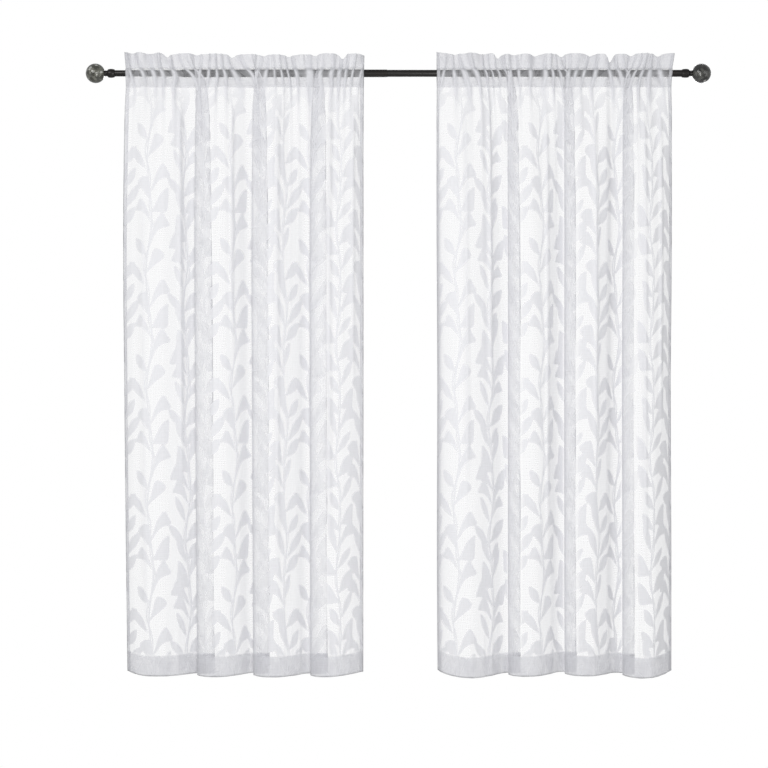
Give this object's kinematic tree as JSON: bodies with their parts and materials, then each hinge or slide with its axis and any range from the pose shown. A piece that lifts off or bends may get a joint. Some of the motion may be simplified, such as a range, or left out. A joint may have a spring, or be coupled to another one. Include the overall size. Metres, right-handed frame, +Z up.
{
  "type": "sheer voile curtain pair on a curtain rod",
  "caption": "Pair of white sheer rod-pocket curtains with ruffled headings, hung in soft folds on a dark metal telescoping rod with ball finials.",
  "frame": {"origin": "middle of the curtain rod's centre line", "axes": "X along the rod with the left panel at -X, Z up, and the front of the curtains facing -Y"},
  "size_m": [1.6076, 0.0794, 1.6025],
  "materials": {
    "voile": "sheer white voile with an opaque leaf pattern",
    "rod_metal": "satin dark bronze",
    "crackled_glass": "glossy crackled ball, dark olive grey"
  },
  "bodies": {
    "root": {"curtain_left": "voile", "curtain_right": "voile", "heading_left": "voile", "heading_right": "voile", "rod_sleeve": "rod_metal", "rod_tube_left": "rod_metal", "rod_tube_right": "rod_metal", "collar_left": "rod_metal", "collar_right": "rod_metal", "ball_left": "crackled_glass", "ball_right": "crackled_glass"}
  },
  "joints": []
}
